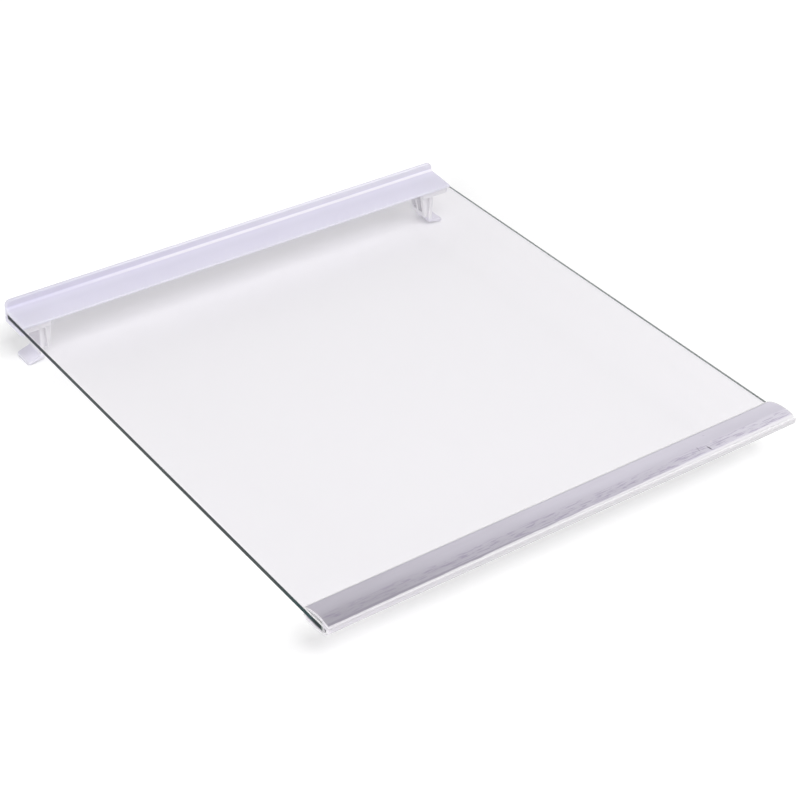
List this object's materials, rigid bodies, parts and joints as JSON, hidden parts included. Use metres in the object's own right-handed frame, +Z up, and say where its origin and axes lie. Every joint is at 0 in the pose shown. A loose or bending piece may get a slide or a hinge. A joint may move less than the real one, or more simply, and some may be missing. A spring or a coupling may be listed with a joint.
{
  "type": "refrigerator glass shelf",
  "caption": "Flat glass refrigerator shelf with a hollow arched front trim that carries a silver strip, and a rear trim with an upstand, pads and ribbed legs with foot tabs.",
  "frame": {"origin": "middle of the glass panel's underside", "axes": "+X across the shelf to the right as seen from the front, +Y from the front trim to the rear trim, +Z up"},
  "size_m": [0.4, 0.4411, 0.0475],
  "materials": {
    "shelf_glass": "clear, ground edges",
    "white_plastic": "satin",
    "silver_foil": "satin"
  },
  "bodies": {
    "root": {"glass_panel": "shelf_glass", "rear_trim": "white_plastic", "front_trim": "white_plastic", "decor_strip": "silver_foil"}
  },
  "joints": []
}
